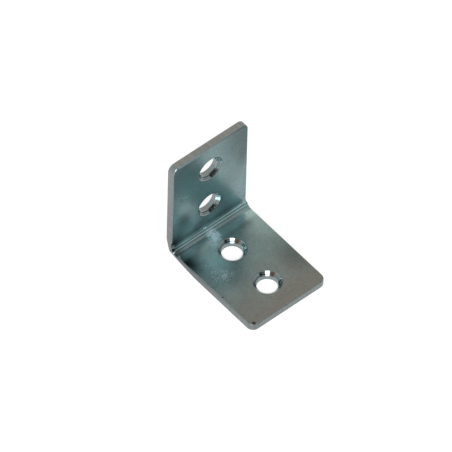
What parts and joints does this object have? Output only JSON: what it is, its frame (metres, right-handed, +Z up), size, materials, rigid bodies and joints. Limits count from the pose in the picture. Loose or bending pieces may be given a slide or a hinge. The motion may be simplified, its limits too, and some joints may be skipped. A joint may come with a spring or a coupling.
{
  "type": "angle bracket",
  "caption": "Right-angle bracket folded from one piece of steel sheet, with two legs of about the same length, rounded free corners and two countersunk screw holes in each leg.",
  "frame": {"origin": "middle of the bounding box's base, under the flat leg's outer face", "axes": "+X along the width and the bend, -Y along the flat leg away from the heel, +Z up along the upright leg"},
  "size_m": [0.0222, 0.03, 0.0306],
  "materials": {
    "zinc_plated_steel": "bright zinc plating with a faint blue-green passivated tint, smooth rolled sheet faces, dull stamped edges"
  },
  "bodies": {
    "root": {"angle_bracket": "zinc_plated_steel"}
  },
  "joints": []
}
